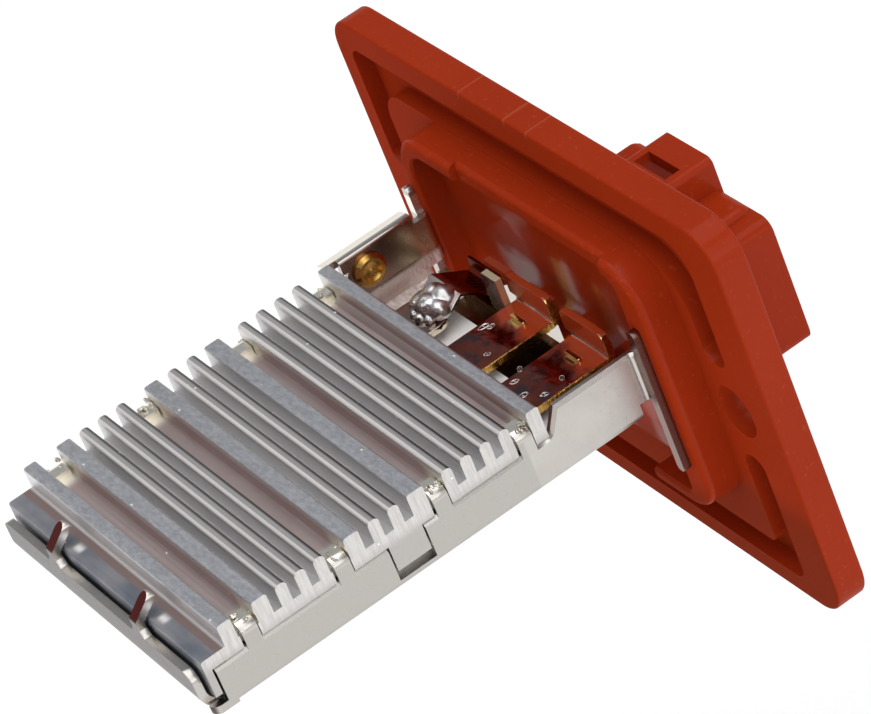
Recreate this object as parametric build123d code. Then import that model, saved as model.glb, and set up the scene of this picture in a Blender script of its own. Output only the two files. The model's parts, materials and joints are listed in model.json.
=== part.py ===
# Blower motor resistor with a finned heat sink, a folded tray and a moulded flange housing.
# Millimetres. X runs across the flange, Y from the fins to the plug, Z up through the fins.
# The origin is the middle of the flange, on the face of its front rim.
import os
from build123d import *

# flange and its groove
flange_w = 72.3
flange_h = 49.2
flange_t = 3.6
flange_corner_r = 4.5
flange_edge_r = 0.35
groove_depth = 2.0
groove_x = (-33.1, 30.3)
groove_z = (-22.0, 21.2)
groove_corner_r = 1.8
groove_far_corner_r = 4.0
plateau_x = (-29.5, 26.7)
plateau_z = (-18.6, 17.3)
plateau_r_small = 1.0
plateau_r_left = 4.5
plateau_r_right = 6.5
boss_z = (-6.0, 5.7)
groove_end_r = 1.6
screw_x = 28.9
screw_hole_d = 6.2

# raised ring round the contact chamber
ring_x = (-22.0, 24.0)
ring_z = (-14.4, 17.1)
ring_corner_r = 5.2
ring_h = 3.8
ring_edge_r = 0.8
ring_lip_r = 0.4
chamber_x = (-20.0, 20.0)
chamber_z = (-12.7, 15.2)
chamber_corner_r = 1.5
chamber_round_r = 4.0
chamber_floor_h = 0.7
low_wall_h = 3.05
low_wall_x = (-9.9, 18.2)
low_wall_edge_r = 0.7
drain_half_w = 12.6

# plug socket on the back
plug_half_w = 12.6
plug_z = (-11.0, 5.0)
plug_end = 18.0
plug_corner_r = 1.5
plug_wall = 1.5
plug_socket_depth = 12.9
plug_step_x = (-11.6, 9.8)
plug_step_top = 5.9
plug_step_corner_r = 1.3
plug_key_half_w = 8.3
latch_half_w = 4.35
latch_top = 9.6
latch_room_half_w = 2.9
latch_window_x = (-2.8, 3.0)
latch_window_y = (12.9, 14.85)

# sheet metal tray
sheet_t = 0.9
tray_half_w = 20.5
tray_bottom = -0.8
tray_bend_r = 0.75
tray_wall_top = 4.05
tray_wall_bevel = 0.35
tray_front_end = -57.1
tray_rear_end = -5.9
tall_wall_top = 6.9
tall_wall_start = -16.0
tall_wall_slope = 1.6
tall_wall_bevel = 0.4
lip_reach = 2.1
lip_top = 8.0
lip_drop = 0.65
lip_wall_start = -15.3
lip_start = -16.7
leg_slot_clear = 0.2
front_wall_y = -59.4
front_wall_top = 4.2
front_wall_x = (-tray_half_w, tray_half_w - 1.3)
front_bend_r = 2.4
front_corner_r = (1.0, 1.5)
front_ear_y = -58.9
finger_x = 8.9
finger_w = 1.4
finger_root_w = 2.6
finger_knee_z = 5.75
finger_tip = (-56.6, 7.75)
tab_w = 1.8
tab_reach = 2.5
tab_shift = 0.1
tab_bend_r = 1.15
tongue_bottom = 1.1
ear_outer_x = tray_half_w + 1.7
ear_inner_x = tray_half_w + 0.4
ear_z = (-8.0, 10.0)
rear_lip_y = -5.3
rear_lip_top = 1.6
rear_lip_half_w = tray_half_w - 3.0
stop_x = (-6.3, -3.55)
stop_top = 6.3

# heat sink
sink_x = (0.25 - tray_half_w, tray_half_w)
base_z = (4.3, 5.75)
sink_rear = -16.1
lip_y = (-58.15, -57.35)
leg_y = (-36.0, -31.9)
leg_bottom = 1.2
fin_top = 8.25
fin_tip_r = 0.55
wide_fin_tip_r = 0.3
wide_fins = [(-55.2, -53.6), (-51.1, -49.3), (-40.0, -38.2), (-32.3, -30.3), (-17.6, -16.1)]
thin_fins = [(-48.3, -47.0), (-46.0, -44.7), (-43.7, -42.4), (-37.1, -35.8), (-34.7, -33.4),
             (-28.1, -26.85), (-25.8, -24.5), (-23.4, -22.15), (-21.1, -19.85)]
tab_gaps = [-52.35, -41.15, -29.2, -18.72]
notch_clear = 0.1
notch_extra = 0.2
foot_flare = 0.7

# ceramic card, its printed tracks and their solder
card_half_w = tray_half_w - sheet_t - 1.0
card_y = (-57.0, -11.7)
card_step_x = -5.0
card_step_y = card_y[1] + 3.0
card_corner_r = 0.5
card_t = 1.0
track_t = 0.1
pad_w = 6.2
pad_y = (-29.6, -23.6)
high_run = (card_y[0] + 17.0, 2.6)
mid_run = (card_y[0] + 8.0, 1.8)
low_run = (card_y[0] + 2.2, 1.1)
solder_t = 0.1

# flat terminals
terminal_w = 6.8
terminal_pitch = 10.5
terminal_t = 0.8
terminal_top = 3.1
foot_y = (-29.0, -24.4)
ramp_end = -20.6
upturn_y = -3.7
upturn_top = 5.9
upturn_extra_w = 1.3
riser_top = 4.6
left_terminal_end = -10.6
lug_y = -6.6
lug_r = 1.3
lug_h = 0.4
lug_t = 0.5

# contact pins of the plug
pin_pitch = 8.0
pin_w = 4.8
pin_t = 0.8
pin_z = -3.0
pin_tip = 14.0

# thermal link: a spring strip held down by soft solder
spring_w = terminal_w - 0.8
spring_x = -terminal_pitch
spring_t = 0.4
spring_gap = 0.15
spring_top = 3.9
spring_heel = (2.1, 2.4)
spring_bridge_z = 4.35
spring_bridge_run = 4.9
spring_slope_run = 6.5
spring_free_end = left_terminal_end - 1.6
bead_y = left_terminal_end - 1.0
bead_x = spring_x + 0.4
bead_half_w = spring_w / 2 - 0.4

# rivet in the left wall
rivet_y = -12.4
rivet_z = 5.3
rivet_shank_r = 1.15
rivet_head_r = 1.95
rivet_head_t = 0.75
rivet_tail_r = 1.5
rivet_tail_t = 0.5

tray_floor = tray_bottom + sheet_t
tray_inner_x = tray_half_w - sheet_t
card_top = tray_floor + card_t
track_top = card_top + track_t
foot_bottom = track_top + solder_t


def span(pair):
    return pair[1] - pair[0]


def middle(pair):
    return (pair[0] + pair[1]) / 2


def rect(x_pair, z_pair, corner_r=0.0):
    """A rectangle given by its two ranges, with rounded corners if wanted."""
    if corner_r > 0:
        face = RectangleRounded(span(x_pair), span(z_pair), corner_r)
    else:
        face = Rectangle(span(x_pair), span(z_pair))
    return Pos(middle(x_pair), middle(z_pair)) * face


def along_y(sketch, y_pair):
    """Extrude a sketch drawn in X and Z between two Y positions."""
    return extrude(Plane.XZ.offset(-y_pair[0]) * sketch, amount=-span(y_pair))


def along_x(sketch, x_pair):
    """Extrude a sketch drawn in Y and Z between two X positions."""
    return extrude(Plane.YZ.offset(x_pair[0]) * sketch, amount=span(x_pair))


def along_z(sketch, z_pair):
    """Extrude a sketch drawn in X and Y between two Z positions."""
    return extrude(Plane.XY.offset(z_pair[0]) * sketch, amount=span(z_pair))


def block(x_pair, y_pair, z_pair):
    size = Box(span(x_pair), span(y_pair), span(z_pair))
    return Pos(middle(x_pair), middle(y_pair), middle(z_pair)) * size


def near(value, target, slack=0.02):
    return abs(value - target) < slack


def bent_strip(outline, radii, x_pair):
    """A strip drawn as a closed outline in Y and Z, with chosen corners rounded."""
    face = make_face(Polyline(*outline, close=True))
    for corner, radius in radii:
        picked = [v for v in face.vertices() if (Vector(v.X, v.Y) - Vector(*corner)).length < 1e-4]
        face = fillet(picked, radius)
    return along_x(face, x_pair)


def plateau_sketch():
    face = rect(plateau_x, plateau_z)
    for x, z, radius in ((plateau_x[0], plateau_z[1], plateau_r_left),
                         (plateau_x[1], plateau_z[1], plateau_r_right),
                         (plateau_x[0], plateau_z[0], plateau_r_left),
                         (plateau_x[1], plateau_z[0], plateau_r_small)):
        picked = [v for v in face.vertices() if near(v.X, x) and near(v.Y, z)]
        face = fillet(picked, radius)
    return face


def groove_sketches():
    """Two U-shaped halves of the groove, parted by the screw bosses."""
    whole = rect(groove_x, groove_z)
    for x in groove_x:
        for z in groove_z:
            far = near(x, groove_x[1]) and near(z, groove_z[1])
            picked = [v for v in whole.vertices() if near(v.X, x) and near(v.Y, z)]
            whole = fillet(picked, groove_far_corner_r if far else groove_corner_r)
    whole = whole - plateau_sketch()
    whole = whole - rect((-flange_w, flange_w), boss_z)
    ends = [v for v in whole.vertices() if near(v.Y, boss_z[0]) or near(v.Y, boss_z[1])]
    return fillet(ends, groove_end_r)


def make_ring():
    ring = along_y(rect(ring_x, ring_z, ring_corner_r), (-ring_h, 0.5))
    front = ring.faces().sort_by(Axis.Y)[0]
    ring = fillet(front.edges(), ring_edge_r)
    opening = rect(chamber_x, chamber_z)
    round_one = [v for v in opening.vertices() if near(v.X, chamber_x[0]) and near(v.Y, chamber_z[1])]
    opening = fillet(round_one, chamber_round_r)
    others = [v for v in opening.vertices() if near(abs(v.X), chamber_x[1])
              and (near(v.Y, chamber_z[0]) or near(v.Y, chamber_z[1]))]
    opening = fillet(others, chamber_corner_r)
    ring = ring - along_y(opening, (-ring_h - 1, -chamber_floor_h))
    front = ring.faces().sort_by(Axis.Y)[0]
    inner = [e for e in front.edges() if abs(e.center().X) < chamber_x[1] + 0.3
             and chamber_z[0] - 0.3 < e.center().Z < chamber_z[1] + 0.3]
    ring = fillet(inner, ring_lip_r)
    # the upper wall is lower over most of its length, with a soft outer edge
    above = rect((-ring_h - 2, low_wall_edge_r - low_wall_h), (chamber_z[1] - 1.2, ring_z[1] + 1.5))
    above = above - rect((-low_wall_h, 2), (0, ring_z[1]), low_wall_edge_r)
    ring = ring - along_x(above, low_wall_x)
    # opening in the lower wall
    drain = along_y(rect((-drain_half_w, drain_half_w), (ring_z[0] - 1, chamber_z[0] + 0.5)),
                    (-ring_h - 1, -chamber_floor_h))
    return ring - drain


def make_plug():
    body_y = (flange_t - 0.5, plug_end)
    body = along_y(rect((-plug_half_w, plug_half_w), plug_z, plug_corner_r), body_y)
    step = along_y(rect(plug_step_x, (-2, plug_step_top), 1.0), body_y)
    corner = [e for e in step.edges().filter_by(Axis.Z)
              if near(e.center().X, plug_step_x[0]) and near(e.center().Y, plug_end)]
    step = fillet(corner, plug_step_corner_r)
    latch = along_y(rect((-latch_half_w, latch_half_w), (0, latch_top), 0.8), body_y)
    body = body + step + latch
    socket_y = (plug_end - plug_socket_depth, plug_end + 1)
    socket = along_y(rect((-plug_half_w + plug_wall, plug_half_w - plug_wall),
                          (plug_z[0] + plug_wall, plug_z[1] - plug_wall), 0.8), socket_y)
    key = along_y(rect((-plug_key_half_w, plug_key_half_w),
                       (0, plug_step_top - plug_wall), 0.5), socket_y)
    latch_room = along_y(rect((-latch_room_half_w, latch_room_half_w),
                              (2, latch_top - plug_wall)), socket_y)
    window = block(latch_window_x, latch_window_y, (5, latch_top + 1))
    return body - socket - key - latch_room - window


def pin_outline():
    """Side view of one pin: a riser in the chamber and a flat blade in the socket."""
    back = upturn_y + pin_t
    low = pin_z - pin_t / 2
    high = pin_z + pin_t / 2
    return [(upturn_y, riser_top), (back, riser_top), (back, high), (pin_tip, high),
            (pin_tip, low), (upturn_y, low)]


def make_pin(x):
    back = upturn_y + pin_t
    low = pin_z - pin_t / 2
    pin = bent_strip(pin_outline(), [((upturn_y, low), 0.7)], (x - pin_w / 2, x + pin_w / 2))
    tip = [e for e in pin.edges().filter_by(Axis.Z) if near(e.center().Y, pin_tip)]
    pin = chamfer(tip, 0.9, 0.7)
    lead = [e for e in pin.edges() if near(e.center().Y, pin_tip) and not near(e.center().Z, pin_z)]
    return chamfer(lead, 0.2)


def make_housing():
    plate = along_y(RectangleRounded(flange_w, flange_h, flange_corner_r), (0, flange_t))
    rims = [e for e in plate.edges() if near(e.center().Y, 0) or near(e.center().Y, flange_t)]
    plate = fillet(rims, flange_edge_r)
    plate = plate - along_y(groove_sketches(), (-1, groove_depth))
    body = plate + make_ring() + make_plug()
    for side in (-1, 1):
        hole = Cylinder(screw_hole_d / 2, 2 * flange_t + 4, rotation=(90, 0, 0))
        body = body - Pos(side * screw_x, flange_t / 2, 0) * hole
    for index in (-1, 0, 1):
        x = index * pin_pitch
        body = body - block((x - pin_w / 2, x + pin_w / 2), (-2, plug_end - 5),
                            (pin_z - pin_t / 2, pin_z + pin_t / 2))
    return body


def tab_section(side):
    """Fold over the base of the heat sink, drawn in X and Z."""
    top = base_z[1] + sheet_t
    outline = [(tray_half_w, 3.0), (tray_half_w, top), (tray_half_w - tab_reach, top),
               (tray_half_w - tab_reach, base_z[1]), (tray_inner_x, base_z[1]), (tray_inner_x, 3.0)]
    face = make_face(Polyline(*outline, close=True))
    outer = [v for v in face.vertices() if near(v.X, tray_half_w) and near(v.Y, top)]
    face = fillet(outer, tab_bend_r)
    if side < 0:
        face = mirror(face, Plane.YZ)
    return face


def finger_outline():
    """Side view of a finger that rises from the front wall and leans over the base."""
    y_out = front_wall_y
    y_in = front_wall_y + sheet_t
    mid = (y_out + sheet_t / 2, finger_knee_z)
    run = Vector(finger_tip[0] - mid[0], finger_tip[1] - mid[1]).normalized()
    normal = Vector(-run.Y, run.X) * (sheet_t / 2)
    tip = Vector(*finger_tip)
    knee_out = mid[1] + (sheet_t / 2) * (1 - run.Y) / run.X
    knee_in = mid[1] - (sheet_t / 2) * (1 - run.Y) / run.X
    top_out = tip + normal
    top_in = tip - normal
    return [(y_out, 3.0), (y_out, knee_out), (top_out.X, top_out.Y), (top_in.X, top_in.Y),
            (y_in, knee_in), (y_in, 3.0)]


def make_tray():
    # channel section with bent lower corners
    outer = rect((-tray_half_w, tray_half_w), (tray_bottom, tall_wall_top))
    inner = rect((-tray_inner_x, tray_inner_x), (tray_floor, tall_wall_top + 1))
    low = [v for v in outer.vertices() if near(v.Y, tray_bottom)]
    outer = fillet(low, tray_bend_r)
    low = [v for v in inner.vertices() if near(v.Y, tray_floor)]
    inner = fillet(low, 0.3)
    body = along_y(outer - inner, (tray_front_end, tray_rear_end))
    # the walls are low beside the fins and rise in a soft step behind them
    y0 = tall_wall_start
    y1 = tall_wall_start + tall_wall_slope
    past_front = 2 * tray_front_end
    cut = make_face(Polyline((past_front, tray_wall_top), (y0, tray_wall_top), (y1, tall_wall_top),
                             (y1, tall_wall_top + 2), (past_front, tall_wall_top + 2),
                             close=True))
    knee = [v for v in cut.vertices() if near(v.X, y0) and near(v.Y, tray_wall_top)]
    crest = [v for v in cut.vertices() if near(v.X, y1) and near(v.Y, tall_wall_top)]
    cut = fillet(knee, 1.2)
    crest = [v for v in cut.vertices() if near(v.X, y1) and near(v.Y, tall_wall_top)]
    cut = fillet(crest, 1.0)
    body = body - along_x(cut, (-2 * tray_half_w, 2 * tray_half_w))
    slot = (leg_y[0] - leg_slot_clear, leg_y[1] + leg_slot_clear)
    for side in (-1, 1):
        body = body - block(sorted((side * (tray_half_w + 1), side * (tray_inner_x - 0.5))),
                            slot, (tray_floor, 12))
    bevel = [e for e in body.edges().filter_by(Axis.Y)
             if near(e.center().Z, tray_wall_top) and near(abs(e.center().X), tray_half_w)]
    body = chamfer(bevel, tray_wall_bevel)
    # front wall with its bend, one floor ear beside it and two fingers
    y_in = front_wall_y + sheet_t
    y_in_floor = tray_front_end + 1
    front = bent_strip([(y_in_floor, tray_bottom), (front_wall_y, tray_bottom),
                        (front_wall_y, front_wall_top), (y_in, front_wall_top),
                        (y_in, tray_floor), (y_in_floor, tray_floor)],
                       [((front_wall_y, tray_bottom), front_bend_r),
                        ((y_in, tray_floor), front_bend_r - sheet_t)], front_wall_x)
    for x, radius in zip(front_wall_x, front_corner_r):
        corner = [e for e in front.edges().filter_by(Axis.Y)
                  if near(e.center().Z, front_wall_top) and near(e.center().X, x)]
        front = fillet(corner, radius)
    ear_face = rect((front_wall_x[1] + 0.25, tray_half_w), (front_ear_y, tray_front_end + 1))
    ear_face = fillet([v for v in ear_face.vertices()
                       if near(v.Y, front_ear_y) and near(v.X, tray_half_w)], 1.0)
    body = body + front + along_z(ear_face, (tray_bottom, tray_floor))
    side_view = finger_outline()
    finger = bent_strip(side_view, [], (-finger_w / 2, finger_w / 2))
    finger_top = max(point[1] for point in side_view)
    front_view = rect((-finger_w / 2, finger_w / 2), (front_wall_top - 2, finger_top))
    tip_corners = [v for v in front_view.vertices() if near(v.Y, finger_top)]
    front_view = fillet(tip_corners, finger_w / 2 - 0.03)
    finger = finger & along_y(front_view, (front_wall_y - 2, finger_tip[0] + 2))
    root = make_face(Polyline((-finger_root_w / 2, 3.5), (-finger_root_w / 2, front_wall_top),
                              (-finger_w / 2, front_wall_top + 0.7), (finger_w / 2, front_wall_top + 0.7),
                              (finger_root_w / 2, front_wall_top), (finger_root_w / 2, 3.5), close=True))
    finger = finger + along_y(root, (front_wall_y, y_in))
    for x in (-finger_x, finger_x):
        body = body + Pos(x, 0, 0) * finger
    # tabs folded over the base of the heat sink
    for side in (-1, 1):
        for y in tab_gaps:
            mid = y + tab_shift
            body = body + along_y(tab_section(side), (mid - tab_w / 2, mid + tab_w / 2))
    # low lip at the rear, bent up from the floor, with one tall stop
    rear = bent_strip([(tray_rear_end - 1, tray_bottom), (rear_lip_y, tray_bottom),
                       (rear_lip_y, stop_top), (rear_lip_y - sheet_t, stop_top),
                       (rear_lip_y - sheet_t, tray_floor), (tray_rear_end - 1, tray_floor)],
                      [((rear_lip_y, tray_bottom), 1.0)], (-rear_lip_half_w, rear_lip_half_w))
    for x_pair in ((-rear_lip_half_w - 1, stop_x[0]), (stop_x[1], rear_lip_half_w + 1)):
        rear = rear - block(x_pair, (rear_lip_y - 3, rear_lip_y + 1), (rear_lip_top, stop_top + 1))
    body = body + rear
    # out-turned lip along the top of the left wall
    top = lip_top
    rim = (-tray_half_w - lip_reach, top - lip_drop)
    under = (rim[0] + 0.25, rim[1] - 0.85)
    outline = [(-tray_inner_x, tall_wall_top - 0.5), (-tray_inner_x, top), (-tray_half_w, top), rim,
               under, (-tray_half_w, top - sheet_t), (-tray_half_w, tall_wall_top - 0.5)]
    face = make_face(Polyline(*outline, close=True))
    face = fillet([v for v in face.vertices() if near(v.X, -tray_half_w) and near(v.Y, top)], 2.0)
    face = fillet([v for v in face.vertices() if near(v.X, -tray_inner_x) and near(v.Y, top)], 0.3)
    face = fillet([v for v in face.vertices() if near(v.X, rim[0]) or near(v.X, under[0])], 0.35)
    body = body + along_y(face, (lip_wall_start, tray_rear_end))
    beyond_wall = rect((rim[0] - 1, -tray_half_w - 0.02), (under[1] - 1, top + 1))
    body = body + along_y(face & beyond_wall, (lip_start, lip_wall_start + 0.2))
    # tongues that turn outward onto the ring of the housing
    face_y = -ring_h
    for side in (-1, 1):
        outline = [(tray_inner_x, tray_rear_end - 0.5), (tray_inner_x, face_y), (ear_outer_x, face_y),
                   (ear_outer_x, face_y - sheet_t), (tray_half_w, face_y - sheet_t),
                   (tray_half_w, tray_rear_end - 0.5)]
        face = make_face(Polyline(*outline, close=True))
        face = fillet([v for v in face.vertices() if near(v.X, tray_inner_x) and near(v.Y, face_y)],
                      0.9)
        face = fillet([v for v in face.vertices()
                       if near(v.X, tray_half_w) and near(v.Y, face_y - sheet_t)], 0.35)
        ear = along_y(rect((ear_inner_x, ear_outer_x), ear_z, 0.5), (face_y - sheet_t, face_y))
        tongue = along_z(face, (tongue_bottom, tall_wall_top)) + ear
        if side < 0:
            tongue = mirror(tongue, Plane.YZ)
        body = body + tongue
    # rivet hole in the left wall
    hole = Cylinder(rivet_shank_r, 3, rotation=(0, 90, 0))
    body = body - Pos(-tray_half_w, rivet_y, rivet_z) * hole
    bevel = [e for e in body.edges().filter_by(Axis.Y) if near(e.center().Z, tall_wall_top)
             and near(e.center().X, tray_half_w) and e.length > 4]
    return chamfer(bevel, tall_wall_bevel)


def make_heat_sink():
    profile = rect((lip_y[0], sink_rear), base_z)
    profile = profile + rect(lip_y, (leg_bottom, base_z[1]))
    profile = profile + rect(leg_y, (leg_bottom, base_z[1]))
    root = base_z[1] - 0.7
    for pair in wide_fins:
        profile = profile + rect(pair, (root, fin_top), wide_fin_tip_r)
    for pair in thin_fins:
        profile = profile + rect(pair, (root, fin_top), fin_tip_r)
    # the rear fin has a flared foot
    flare = make_face(Polyline((wide_fins[-1][0] - foot_flare, base_z[1] - 0.1),
                               (wide_fins[-1][0] - foot_flare, base_z[1]),
                               (wide_fins[-1][0] + 0.1, base_z[1] + foot_flare),
                               (wide_fins[-1][0] + 0.1, base_z[1] - 0.1), close=True))
    body = along_x(profile, sink_x)
    body = body + along_x(flare, (sink_x[0] + 3, sink_x[1] - 3))
    lip_edges = [e for e in body.edges().filter_by(Axis.X)
                 if near(e.center().Y, lip_y[0]) and near(e.center().Z, base_z[1])]
    body = fillet(lip_edges, 0.3)
    for side in (-1, 1):
        for y in tab_gaps:
            mid = y + tab_shift
            cut_y = (mid - tab_w / 2 - notch_clear - notch_extra, mid + tab_w / 2 + notch_clear)
            cut_x = sorted((side * (tray_inner_x - notch_clear), side * (tray_half_w + 1)))
            body = body - block(cut_x, cut_y, (base_z[0] - 1, base_z[1] + 0.01))
    return body


def make_card():
    face = rect((-card_half_w, card_half_w), card_y)
    # the side under the thermal link reaches further back
    face = face + rect((-card_half_w, card_step_x), (card_y[0], card_step_y))
    face = fillet(face.vertices(), card_corner_r)
    return along_z(face, (tray_floor, card_top))


def track_path(points, width):
    """A printed track made of straight runs between square corners."""
    half = width / 2
    face = None
    for start, end in zip(points[:-1], points[1:]):
        x_pair = (min(start[0], end[0]) - half, max(start[0], end[0]) + half)
        y_pair = (min(start[1], end[1]) - half, max(start[1], end[1]) + half)
        run = rect(x_pair, y_pair)
        face = run if face is None else face + run
    return face


def pad_half(x, side):
    """Half a solder pad; the two halves belong to neighbouring tracks."""
    inner = x + side * 0.2
    outer = x + side * pad_w / 2
    return rect(sorted((inner, outer)), pad_y)


def make_track(sketch):
    return along_z(sketch, (card_top, track_top))


def terminal_outline(end):
    """Side view of a terminal: foot on the card, ramp, flat run and upturned end."""
    t = terminal_t
    low = terminal_top - t
    shape = [(foot_y[0], foot_bottom), (foot_y[1], foot_bottom), (ramp_end, low)]
    back = [(ramp_end - 0.3, terminal_top), (foot_y[1] - 0.3, foot_bottom + t),
            (foot_y[0], foot_bottom + t)]
    if end == "upturned":
        shape = shape + [(upturn_y, low), (upturn_y, upturn_top), (upturn_y - t, upturn_top),
                         (upturn_y - t, terminal_top)]
    else:
        shape = shape + [(left_terminal_end, low), (left_terminal_end, terminal_top)]
    return shape + back


def make_terminal(x, end):
    pair = (x - terminal_w / 2, x + terminal_w / 2)
    low = terminal_top - terminal_t
    if end == "upturned":
        radii = [((upturn_y, low), 1.0), ((upturn_y - terminal_t, terminal_top), 0.3)]
        body = bent_strip(terminal_outline(end), radii, pair)
        wing = block((pair[0] - upturn_extra_w, x), (upturn_y - terminal_t, upturn_y),
                     (terminal_top + 0.3, upturn_top))
        body = body + wing
        lug = Pos(x, lug_y, terminal_top) * Cylinder(lug_r, lug_t, rotation=(90, 0, 0))
        lug = lug & block((x - 3, x + 3), (lug_y - 2, lug_y + 2), (terminal_top - 0.1, terminal_top + lug_h))
        body = body + lug
        tops = [e for e in body.edges().filter_by(Axis.Y) if near(e.center().Z, upturn_top)]
        return fillet(tops, 0.8)
    body = bent_strip(terminal_outline(end), [], pair)
    corners = [e for e in body.edges().filter_by(Axis.Z) if near(e.center().Y, left_terminal_end)]
    return fillet(corners, 1.6)


def make_card_solder(x):
    wide = rect((x - pad_w / 2 + 0.1, x + pad_w / 2 - 0.1), (pad_y[0] + 0.1, pad_y[1] - 0.1), 0.6)
    narrow = rect((x - pad_w / 2 + 0.6, x + pad_w / 2 - 0.6), (pad_y[0] + 0.5, pad_y[1] - 0.5), 0.6)
    low = Plane.XY.offset(track_top) * wide
    high = Plane.XY.offset(foot_bottom + 0.45) * narrow
    return loft([low.faces()[0], high.faces()[0]])


def make_spring():
    """Side view of the spring strip, from the left riser down to the soft solder."""
    t = spring_t
    y0 = upturn_y
    flat = terminal_top + spring_gap
    heel_y = y0 - 0.9
    bridge_y = y0 - spring_bridge_run
    foot_y_start = y0 - spring_slope_run
    outline = [(y0, spring_top), (y0, spring_heel[1]), (heel_y, spring_heel[0]),
               (bridge_y, spring_bridge_z), (foot_y_start, flat), (spring_free_end, flat),
               (spring_free_end, flat + t), (foot_y_start, flat + t), (bridge_y, spring_bridge_z + t),
               (heel_y, spring_heel[0] + t), (y0 - t, spring_heel[1] + t), (y0 - t, spring_top)]
    body = bent_strip(outline, [], (spring_x - spring_w / 2, spring_x + spring_w / 2))
    ends = [e for e in body.edges().filter_by(Axis.Z) if near(e.center().Y, spring_free_end)]
    return fillet(ends, 1.2)


def make_fuse_solder(spring, terminal):
    """A lumpy bead round the free end of the spring."""
    bead = None
    for dx, dy, r in ((-1.9, 0.0, 0.75), (-0.9, -0.4, 0.95), (0.1, 0.1, 0.85), (1.0, -0.3, 0.9),
                      (1.9, 0.2, 0.7), (-0.3, 0.7, 0.8), (0.9, 0.8, 0.7)):
        ball = Pos(bead_x + dx, bead_y + dy, terminal_top + 0.2) * Sphere(r)
        bead = ball if bead is None else bead + ball
    layer = block((spring_x - bead_half_w, spring_x + bead_half_w), (bead_y - 0.7, bead_y + 0.7),
                  (terminal_top, terminal_top + spring_gap))
    bead = bead + layer
    keep = block((spring_x - spring_w, spring_x + spring_w), (bead_y - 2.4, bead_y + 1.7),
                 (terminal_top, terminal_top + 4))
    return (bead & keep) - spring - terminal


def make_rivet():
    """A tubular rivet: shank through the wall and a rolled head on each side."""
    inside = -tray_inner_x
    tail = -tray_half_w - rivet_tail_t
    profile = Polyline((tail, 0), (tail, rivet_tail_r - 0.3), (tail + 0.25, rivet_tail_r),
                       (-tray_half_w, rivet_tail_r),
                       (-tray_half_w, rivet_shank_r), (inside, rivet_shank_r), (inside, rivet_head_r),
                       (inside + 0.35, rivet_head_r), (inside + rivet_head_t, rivet_head_r - 0.45),
                       (inside + rivet_head_t, rivet_head_r - 0.8),
                       (inside + 0.3, rivet_head_r - 1.05), (inside + 0.15, 0), close=True)
    body = revolve(make_face(profile), Axis.X, 360)
    return Pos(0, rivet_y, rivet_z) * body


def track_sketches():
    left = -terminal_pitch
    right = terminal_pitch
    quarter = pad_w / 4 + 0.1
    high = pad_half(left, 1) + pad_half(0, -1)
    high = high + track_path([(left + quarter, pad_y[0]), (left + quarter, high_run[0]),
                              (-quarter, high_run[0]), (-quarter, pad_y[0])], high_run[1])
    mid = pad_half(0, 1) + pad_half(right, -1)
    mid = mid + track_path([(quarter, pad_y[0]), (quarter, mid_run[0]),
                            (right - quarter, mid_run[0]), (right - quarter, pad_y[0])], mid_run[1])
    low = pad_half(right, 1) + pad_half(left, -1)
    low = low + track_path([(right + quarter, pad_y[0]), (right + quarter, low_run[0]),
                            (left - quarter, low_run[0]), (left - quarter, pad_y[0])], low_run[1])
    return {"low": low, "mid": mid, "high": high}


def save(shape, name):
    shape.label = name
    export_step(shape, os.path.join("parts", name + ".step"))
    print(name, "solids", len(shape.solids()), "volume", round(shape.volume, 1))


os.makedirs("parts", exist_ok=True)

save(make_housing(), "housing")
save(make_heat_sink(), "heat_sink")
save(make_tray(), "bracket_tray")
save(make_card(), "ceramic_card")
for size_name, track in track_sketches().items():
    save(make_track(track), "resistor_track_" + size_name)

left_terminal = make_terminal(-terminal_pitch, "short")
centre_terminal = make_terminal(0, "upturned")
right_terminal = make_terminal(terminal_pitch, "upturned")
save(left_terminal, "terminal_left")
save(centre_terminal, "terminal_centre")
save(right_terminal, "terminal_right")
pads = []
feet = ((-terminal_pitch, left_terminal), (0, centre_terminal), (terminal_pitch, right_terminal))
for offset_x, foot in feet:
    pads.append((make_card_solder(offset_x) - foot).solids()[0])
save(Compound(children=pads), "card_solder")

save(make_pin(-pin_pitch), "contact_pin_left")
save(make_pin(0), "contact_pin_centre")
save(make_pin(pin_pitch), "contact_pin_right")
spring_strip = make_spring()
save(spring_strip, "fuse_spring")
save(make_fuse_solder(spring_strip, left_terminal), "fuse_solder")
save(make_rivet(), "side_rivet")
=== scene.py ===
import json
import math
import random

import bmesh
import bpy
from mathutils import Matrix, Vector, noise


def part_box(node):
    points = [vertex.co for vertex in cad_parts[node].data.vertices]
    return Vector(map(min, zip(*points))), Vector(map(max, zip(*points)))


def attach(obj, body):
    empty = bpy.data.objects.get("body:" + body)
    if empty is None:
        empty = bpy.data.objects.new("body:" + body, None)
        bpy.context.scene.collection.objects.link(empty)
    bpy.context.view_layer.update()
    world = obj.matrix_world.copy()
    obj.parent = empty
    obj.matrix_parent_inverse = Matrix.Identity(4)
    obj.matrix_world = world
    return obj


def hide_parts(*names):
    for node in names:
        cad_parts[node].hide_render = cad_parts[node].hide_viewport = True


mm = 0.001
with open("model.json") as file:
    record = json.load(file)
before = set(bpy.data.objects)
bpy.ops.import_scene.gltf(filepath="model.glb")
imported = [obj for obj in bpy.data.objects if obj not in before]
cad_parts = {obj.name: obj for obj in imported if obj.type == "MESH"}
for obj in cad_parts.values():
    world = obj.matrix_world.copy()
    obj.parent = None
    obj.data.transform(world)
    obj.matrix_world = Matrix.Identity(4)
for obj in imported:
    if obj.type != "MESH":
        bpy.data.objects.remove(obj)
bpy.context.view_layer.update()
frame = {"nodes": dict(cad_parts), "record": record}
nodes = frame["nodes"]
print("loaded", len(nodes), "pieces")

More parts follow.
